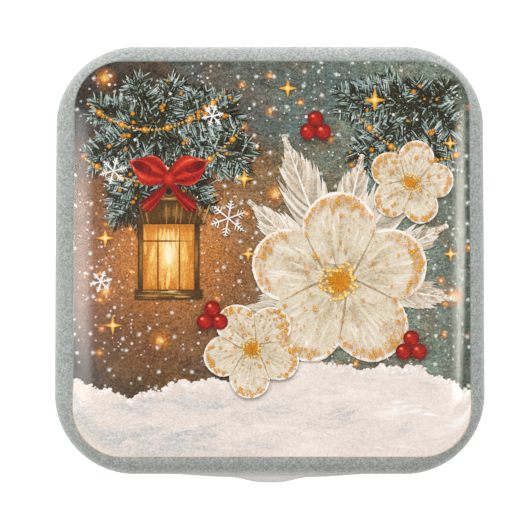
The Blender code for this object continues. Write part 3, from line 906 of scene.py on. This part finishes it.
slab(brass, (LANTERN.x - half, lamp_low), (LANTERN.x + half, lamp_low + LANTERN_FOOT), 0.2, 0.75)
roof = [(-half * 1.12, eaves), (half * 1.12, eaves), (half * 0.40, lamp_top), (-half * 0.40, lamp_top)]
brass.patch([Vector((LANTERN.x + x, y)) for x, y in roof],
            Vector((LANTERN.x + 0.02, (eaves + lamp_top) / 2)), 0.15, 0.6)
slab(brass, (LANTERN.x - half * 0.4, lamp_top), (LANTERN.x + half * 0.4, lamp_top + 0.02), 0.3, 0.85)
brass.disc(Vector((LANTERN.x, lamp_top + 0.045)), 0.032, 0.3, 0.7)
brass.disc(Vector((LANTERN.x, lamp_top + 0.047)), 0.018, 0.02, 0.02)
for side in (-1, 1):
    x = LANTERN.x + side * half * 0.82
    slab(brass, (x - 0.016, lamp_low + LANTERN_FOOT), (x + 0.016, eaves), 0.15, 0.7)
for step in range(16):
    x = -half + LANTERN_WIDTH * (step + 0.5) / 16
    path = curl((LANTERN.x + x * 1.08, eaves + 0.004), 90 - x * 120, 0.11, 0, 3)
    brass.stroke(path, 0.010, brass.between(0.2, 0.8))
for step in range(14):
    start = (LANTERN.x - half + brass.between(0, 0.2), lamp_low + brass.between(0.006, 0.045))
    brass.stroke(curl(start, 0, brass.between(0.05, 0.13), 0, 3), 0.006, brass.between(0.2, 1.0))
brass.make("lantern_brass", brass_colours, "brass_print", "lantern")

lamp = Brushwork(low=0.23, high=0.25, seed=32)
pane_low = Vector((LANTERN.x - half * 0.76, lamp_low + LANTERN_FOOT))
pane_high = Vector((LANTERN.x + half * 0.76, eaves))
slab(lamp, pane_low, pane_high, 0.25, 0.95)
for step in range(70):
    x = lamp.between(pane_low.x + 0.01, pane_high.x - 0.01)
    y = lamp.between(pane_low.y, pane_high.y - 0.09)
    off = abs(x - LANTERN.x) / half + abs(y + 0.04 - LANTERN.y) / 0.25
    tone = 0.95 - 0.45 * off + lamp.between(-0.1, 0.1)
    lamp.stroke(curl((x, y), 90, 0.08, lamp.between(-8, 8), 3), 0.014, tone)
flame = LANTERN + Vector((0.0, -0.085))
lamp.stroke(curl(flame, 90, 0.13, 6, 6), 0.05, 0.8, 1.0)
lamp.stroke(curl(flame + Vector((0, 0.012)), 90, 0.085, 4, 6), 0.026, 1.0, 1.0)
bars = [[(x, y) for y in (pane_low.y, LANTERN.y, pane_high.y)]
        for x in (pane_low.x + 0.075, pane_high.x - 0.075)]
bars.append([(x, LANTERN.y + 0.045) for x in (pane_low.x, LANTERN.x, pane_high.x)])
for bar in bars:
    lamp.stroke([Vector(p) for p in bar], GLAZING_BAR, -0.3, -0.3, 1.0)
lamp.make("lantern_glow", lamp_colours, "lamp_print", "lantern_light")

# Ribbon bow
# A red bow is tied on the fir above the lantern.
BOW = Vector((-0.52, 0.40))
RIBBON = 0.225
bow = Brushwork(low=0.26, high=0.29, seed=41)


def bow_loop(brush, degrees, length, width):
    """One loop of ribbon. Its strokes leave the knot, swell and meet again at the loop's end."""
    along = toward(degrees)
    across = Vector((-along.y, along.x))
    for step in range(34):
        off = -1 + 2 * step / 33
        reach = length * (1 - 0.20 * off * off)
        path = []
        for place in range(11):
            share = place / 10
            swell = 0.10 + sin(pi * share ** 1.3) ** 0.7
            path.append(BOW + along * reach * share + across * width * off * swell)
        fold = 0.30 + 0.22 * cos(7 * off + 1)
        brush.stroke(path, 0.018, fold + brush.between(-0.08, 0.08), fold + brush.between(0.25, 0.45), 0.5)
    hollow = BOW + along * length * 0.66
    turns = [tau * step / 18 for step in range(18)]
    outline = [hollow + along * 0.24 * length * cos(turn) + across * 0.40 * width * sin(turn)
               for turn in turns]
    brush.patch(outline, hollow, 0.16, 0.02)
    for step in range(9):
        off = -0.8 + 0.2 * step
        start = hollow + across * 0.42 * width * off - along * 0.16 * length
        brush.stroke(curl(start, degrees, 0.30 * length, 0, 3), 0.005, 0.30, 0.04)


for side in (-1, 1):
    for step in range(11):
        lean = side * (17 + step * 1.9)
        path = curl(BOW, -90 + lean, RIBBON - 0.005 * abs(step - 5), side * (30 - 5 * (step % 2)), 7)
        bow.stroke(path, 0.016, bow.between(0.02, 0.3), 0.35 + 0.3 * cos(0.9 * step), 0.6)
    bow_loop(bow, 90 - side * 66, RIBBON, 0.062)
bow.disc(BOW, 0.036, 0.25, 0.8, 1.1)
bow.make("red_bow", red_colours, "red_print", "ribbon_bow")

# Winter roses
# Three open flowers with five round petals each, painted outward from the eye. A petal is a
# round with its middle away from the rose's own. Both are shares of the rose's radius.
PETAL_AWAY = 0.585
PETAL_REACH = 0.40


def winter_rose(name, low, seed):
    centre, radius, tilt = ROSES[name]
    petals = Brushwork(low, low + 0.08, seed)
    petals.disc(centre, radius * 0.3, 0.5, 0.3)
    for petal in (0, 2, 4, 1, 3):
        degrees = tilt + 72 * petal
        along = toward(degrees)
        across = Vector((-along.y, along.x))
        spot = centre + along * PETAL_AWAY * radius
        outline = []
        for turn in [tau * step / 28 for step in range(28)]:
            reach = PETAL_REACH * radius * (1 + 0.025 * sin(5 * turn + petal))
            outline.append(spot + along * reach * cos(turn) + across * reach * 1.02 * sin(turn))
        petals.patch(outline, centre + along * radius * 0.45, 0.72, 0.5)
        for step in range(46):
            off = petals.between(-1, 1)
            start = centre + along * radius * petals.between(0.16, 0.5) + across * radius * 0.13 * off
            room = sqrt(max(1 - (off * 0.86) ** 2, 0.0))
            length = radius * (0.52 * room + petals.between(-0.14, 0.06))
            path = curl(start, degrees + 34 * off, length, -12 * off, 6)
            tone = petals.between(0.3, 0.62)
            petals.stroke(path, radius * 0.045, tone, petals.between(0.7, 1.0))
        for turn in [84 * (-1 + 2 * (step + 0.5) / 16) for step in range(16)]:
            rim = spot + toward(degrees + turn) * 0.375 * radius
            petals.stroke(curl(rim, degrees + turn + 80, radius * 0.13, 22, 4), radius * 0.03, 0.95, 1.0)
        for side in (-1, 1):
            crease = centre + across * side * radius * 0.10
            path = curl(crease, degrees + side * 31, radius * 0.66, side * -8, 6)
            petals.stroke(path, radius * 0.022, 0.12, 0.4)
    petals.make("rose_petals_" + name, petal_colours, "petal_print", "winter_rose_" + name)
    eye = Brushwork(low + 0.09, low + 0.12, seed + 50)
    eye.disc(centre, radius * 0.11, 0.15, 0.45, 1.0, 18)
    for step in range(46):
        turn = 360 * step / 46 + eye.between(-4, 4)
        length = radius * eye.between(0.12, 0.235)
        path = curl(centre, turn, length, eye.between(-14, 14), 3)
        eye.stroke(path, radius * 0.014, 0.3, 0.6)
        eye.disc(path[-1], radius * 0.02, 0.7, 1.0, 1.0, 7)
    eye.make("rose_eye_" + name, gold_colours, "gold_print", "rose_centre_" + name)


winter_rose("large", low=0.20, seed=51)
winter_rose("high", low=0.33, seed=52)
winter_rose("low", low=0.46, seed=53)

# Berries and gold stars
# Red berries and small gold stars are scattered over the picture.
BERRIES = {"left": (-0.30, -0.30), "right": (0.70, -0.45), "top": (0.22, 0.66)}
STARS = {
    "one": ((0.08, 0.86), 0.05),
    "two": ((0.52, 0.80), 0.06),
    "three": ((0.90, 0.58), 0.04),
    "four": ((-0.14, 0.40), 0.05),
    "five": ((-0.84, 0.10), 0.05),
    "six": ((0.90, 0.02), 0.04),
    "seven": ((-0.80, -0.34), 0.05),
    "eight": ((-0.12, 0.02), 0.04),
}
for seed, (name, place) in enumerate(BERRIES.items(), 60):
    berries = Brushwork(low=0.60, high=0.62, seed=seed)
    for degrees in (90, 210, 330):
        spot = Vector(place) + toward(degrees) * 0.044
        berries.disc(spot, 0.041, 0.12, 0.55, 1.0, 18)
        berries.disc(spot + Vector((-0.012, 0.014)), 0.011, 0.7, 1.0, 0.8, 8)
        berries.stroke(curl(spot + Vector((0.024, -0.012)), 240, 0.03, -60, 3), 0.006, 0.5, 0.6)
    berries.make("berries_" + name, red_colours, "red_print", "red_berries_" + name)
for seed, (name, (place, radius)) in enumerate(STARS.items(), 80):
    star = Brushwork(low=0.34, high=0.35, seed=seed)
    place = Vector(place)
    corners = [place + toward(90 + 45 * corner) * radius * (0.3 if corner % 2 else 1.0)
               for corner in range(8)]
    star.patch(corners, place, 0.45, 1.0)
    star.disc(place, radius * 0.22, 0.9, 1.0, 1.0, 8)
    star.make("star_" + name, gold_colours, "gold_print", "gold_star_" + name)

# Strings of gold beads
# Three thin strings of beads droop over the fir, with small warm lights between the needles.
STRINGS = (
    ((-0.93, 0.78), (-0.24, 0.84), 0.16),
    ((-0.94, 0.50), (-0.18, 0.62), 0.17),
    ((0.44, 0.72), (0.93, 0.52), 0.10),
)
BEAD_PITCH = 0.019
beads = Brushwork(low=0.131, high=0.139, seed=97)
for start, end, droop in STRINGS:
    start, end = Vector(start), Vector(end)
    count = int((end - start).length / BEAD_PITCH)
    for step in range(count + 1):
        share = step / count
        spot = start.lerp(end, share) - Vector((0, 4 * droop * share * (1 - share)))
        large = step % 6 == 3
        beads.disc(spot, 0.017 if large else 0.0068, 0.2 if large else 0.35, 0.75, 1.0, 12)
        beads.disc(spot + Vector((-0.003, 0.003)), 0.006 if large else 0.003, 0.9, 1.0, 1.0, 6)
for index in range(60):
    heart, branches = FIRS["left" if index % 4 else "right"]
    degrees, length = beads.chance.choice(branches)
    spot = heart + toward(degrees + beads.between(-14, 14)) * length * beads.between(0.3, 1.1)
    if on_label(spot, 0.03):
        beads.disc(spot, beads.between(0.007, 0.013), 0.15, 0.7, 1.0, 9)
beads.make("gold_beads", gold_colours, "gold_print")

# Falling snow and gold dust
# Snowflakes and dots of snow fall through the whole picture, and gold dust lies on petals
# and fronds.
FLAKES = (((-0.22, 0.20), 0.10), ((-0.80, 0.44), 0.075), ((-0.30, 0.72), 0.06), ((-0.86, -0.12), 0.06))
flurry = Brushwork(low=0.14, high=0.18, seed=91)
for index in range(520):
    spot = Vector((flurry.between(-0.95, 0.95), flurry.between(-0.5, 0.95)))
    if on_label(spot, 0.03):
        size = flurry.between(0.002, 0.0046) if index % 11 else flurry.between(0.006, 0.009)
        flurry.disc(spot, size, 0.8, 1.0, 1.0, 8)
for spot, size in FLAKES:
    for arm in range(6):
        degrees = 60 * arm + size * 200
        stem = curl(spot, degrees, size, 0, 6)
        flurry.stroke(stem, 0.008, 1.0, 1.0, 0.6)
        for step in (3, 4, 5):
            for side in (-1, 1):
                twig = curl(stem[step], degrees + 60 * side, size * (0.62 - 0.1 * step), 0, 2)
                flurry.stroke(twig, 0.006, 1.0, 1.0, 0.6)
flurry.make("falling_snow", snow_colours, "snow_print")

dust = Brushwork(low=0.59, high=0.595, seed=95)
for index in range(1500):
    centre, radius, tilt = ROSES[dust.chance.choice(("large", "large", "large", "low", "high"))]
    off = dust.chance.gauss(0, 17)
    ahead, aside = toward(off) * PETAL_AWAY
    rim = ahead + sqrt(max(PETAL_REACH ** 2 - aside ** 2, 0))
    reach = rim * (dust.between(0.84, 0.97) if index % 5 else dust.between(0.35, 0.96))
    spot = centre + toward(tilt + 72 * dust.chance.randrange(5) + off) * radius * reach
    if on_label(spot, 0.02):
        size = dust.between(0.006, 0.010) if index % 7 == 0 else dust.between(0.002, 0.0055)
        dust.disc(spot, size, 0.35, 0.9, 1.0, 6)
for index in range(460):
    degrees, length = dust.chance.choice(FRONDS)
    spot = ROSES["large"][0] + toward(degrees + dust.chance.gauss(0, 5)) * length * dust.between(0.55, 0.98)
    if on_label(spot, 0.02):
        dust.disc(spot, dust.between(0.0018, 0.0045), 0.3, 0.8, 1.0, 6)
dust.make("gold_dust", gold_colours, "gold_print")

# Resin dome
# Clear resin was poured over the label. It stands steep at the label's edge and runs out
# almost flat towards the middle, so the studio lights show as streaks along its border.
DOME_FOOT = 20.04 * MM
DOME_EDGE_Z = 21.30 * MM
DOME_SLOPE = 4.0 * MM
DOME_RISE = 1.33 * MM
RESIN_INDEX = 1.5


def clear_resin():
    box = Paintbox("clear_resin")
    clear = box.node("BsdfTransparent", {}).outputs["BSDF"]
    gloss = box.node("BsdfGlossy", {"Roughness": 0.06}).outputs["BSDF"]
    leaving = box.node("NewGeometry", {}).outputs["Backfacing"]
    index = box.math("SUBTRACT", RESIN_INDEX, box.math("MULTIPLY", leaving, RESIN_INDEX - 1 / RESIN_INDEX))
    angle = box.node("Fresnel", {"IOR": index}).outputs["Fac"]
    skin = box.node("MixShader", {0: angle, 1: clear, 2: gloss}).outputs["Shader"]
    box.feed(skin, box.tree.nodes["Material Output"].inputs["Surface"])
    box.tree.nodes.remove(box.shader)
    return box.material


dome = label_plate("clear_dome", DOME_FOOT)
insets = [0.0] + [DOME_SLOPE * (step / 26) ** 1.4 for step in range(1, 27)]
insets += [DOME_SLOPE + (LABEL_HALF - DOME_SLOPE) * share for share in (0.06, 0.16, 0.32, 0.55, 0.8, 0.97)]
heights = [DOME_EDGE_Z]
for inset in insets[1:]:
    steep = 1 - (1 - min(inset / DOME_SLOPE, 1.0)) ** 2.4
    heights.append(DOME_EDGE_Z + DOME_RISE * (0.84 * steep + 0.16 * sqrt(inset / LABEL_HALF)))
level, width = DOME_FOOT, 1.0
for inset, height in zip(insets, heights):
    share = 1 - inset / LABEL_HALF
    bpy.ops.mesh.extrude_region_move(TRANSFORM_OT_translate={"value": (0, 0, height - level)})
    bpy.ops.transform.resize(value=(share / width, share / width, 1), center_override=(LABEL_X, 0, height))
    level, width = height, share
face_outward()
dome.data.materials.append(clear_resin())
smooth(dome, 50)
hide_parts("resin_dome")
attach(dome, "lid")
dome.visible_shadow = False
gloss_only.objects.link(dome)
